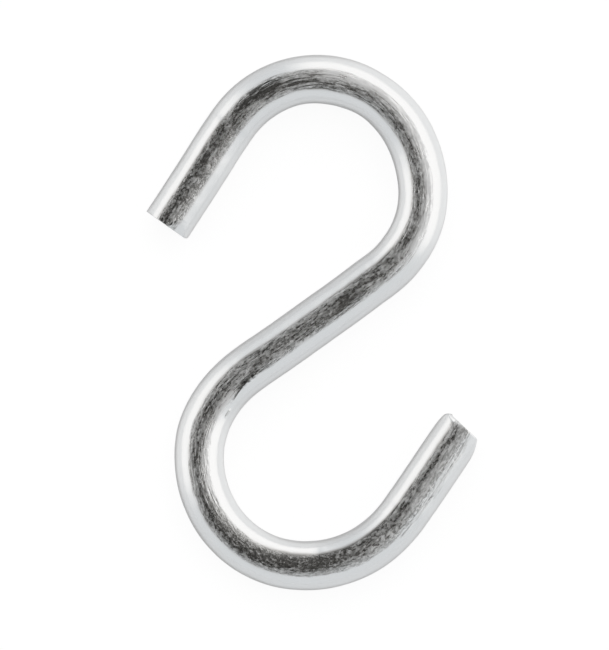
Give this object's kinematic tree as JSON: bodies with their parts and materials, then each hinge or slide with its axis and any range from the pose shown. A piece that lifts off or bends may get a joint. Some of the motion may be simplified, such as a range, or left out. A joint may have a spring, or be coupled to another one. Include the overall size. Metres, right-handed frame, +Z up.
{
  "type": "s hook",
  "caption": "S hook bent from one length of round zinc-plated steel wire, with two open hooks that face opposite ways, for hanging one thing from another.",
  "frame": {"origin": "on the surface that the hook lies on, under the middle of its bounding box", "axes": "+Z up, out of the plane of the S; +Y along the hook's length, from the lower hook to the upper hook; +X across it, to the side that the lower hook's tip is on"},
  "size_m": [0.0336, 0.0544, 0.005],
  "materials": {
    "zinc_plate": "bright zinc plate over drawn steel wire, with fine drawing lines and flecks"
  },
  "bodies": {
    "root": {"hook": "zinc_plate"}
  },
  "joints": []
}
